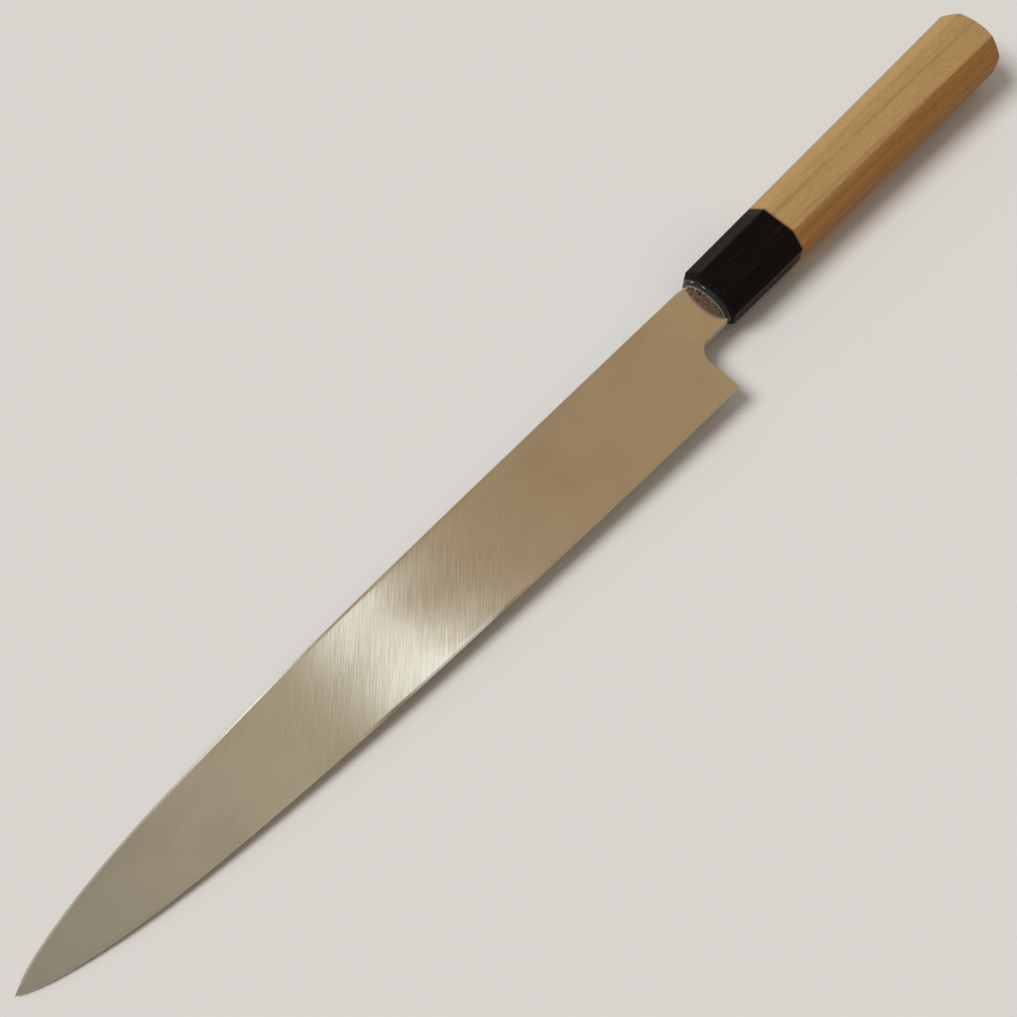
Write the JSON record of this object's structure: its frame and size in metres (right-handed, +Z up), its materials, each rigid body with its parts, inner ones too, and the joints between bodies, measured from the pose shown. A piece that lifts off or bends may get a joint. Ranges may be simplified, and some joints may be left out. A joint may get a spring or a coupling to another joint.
{
  "type": "yanagiba knife",
  "caption": "Long single-bevel slicing knife with a hollow back, a black horn ferrule and a pale octagonal wooden handle, lying on its bevelled side.",
  "frame": {"origin": "on the surface the knife lies on, under the middle of its bounding box", "axes": "+X along the knife from the tip to the butt, +Y towards the spine, +Z up, out of the hollow back of the blade"},
  "size_m": [0.4498, 0.0414, 0.0235],
  "materials": {
    "hard_steel": "fine cross-ground satin",
    "soft_iron": "lengthwise satin on the flat, misty on the bevel",
    "horn": "polished black horn",
    "wood": "sanded, bare",
    "resin": "dark amber"
  },
  "bodies": {
    "root": {"blade_steel": "hard_steel", "blade_iron": "soft_iron", "horn_ferrule": "horn", "handle_wood": "wood", "mouth_seal": "resin"}
  },
  "joints": []
}
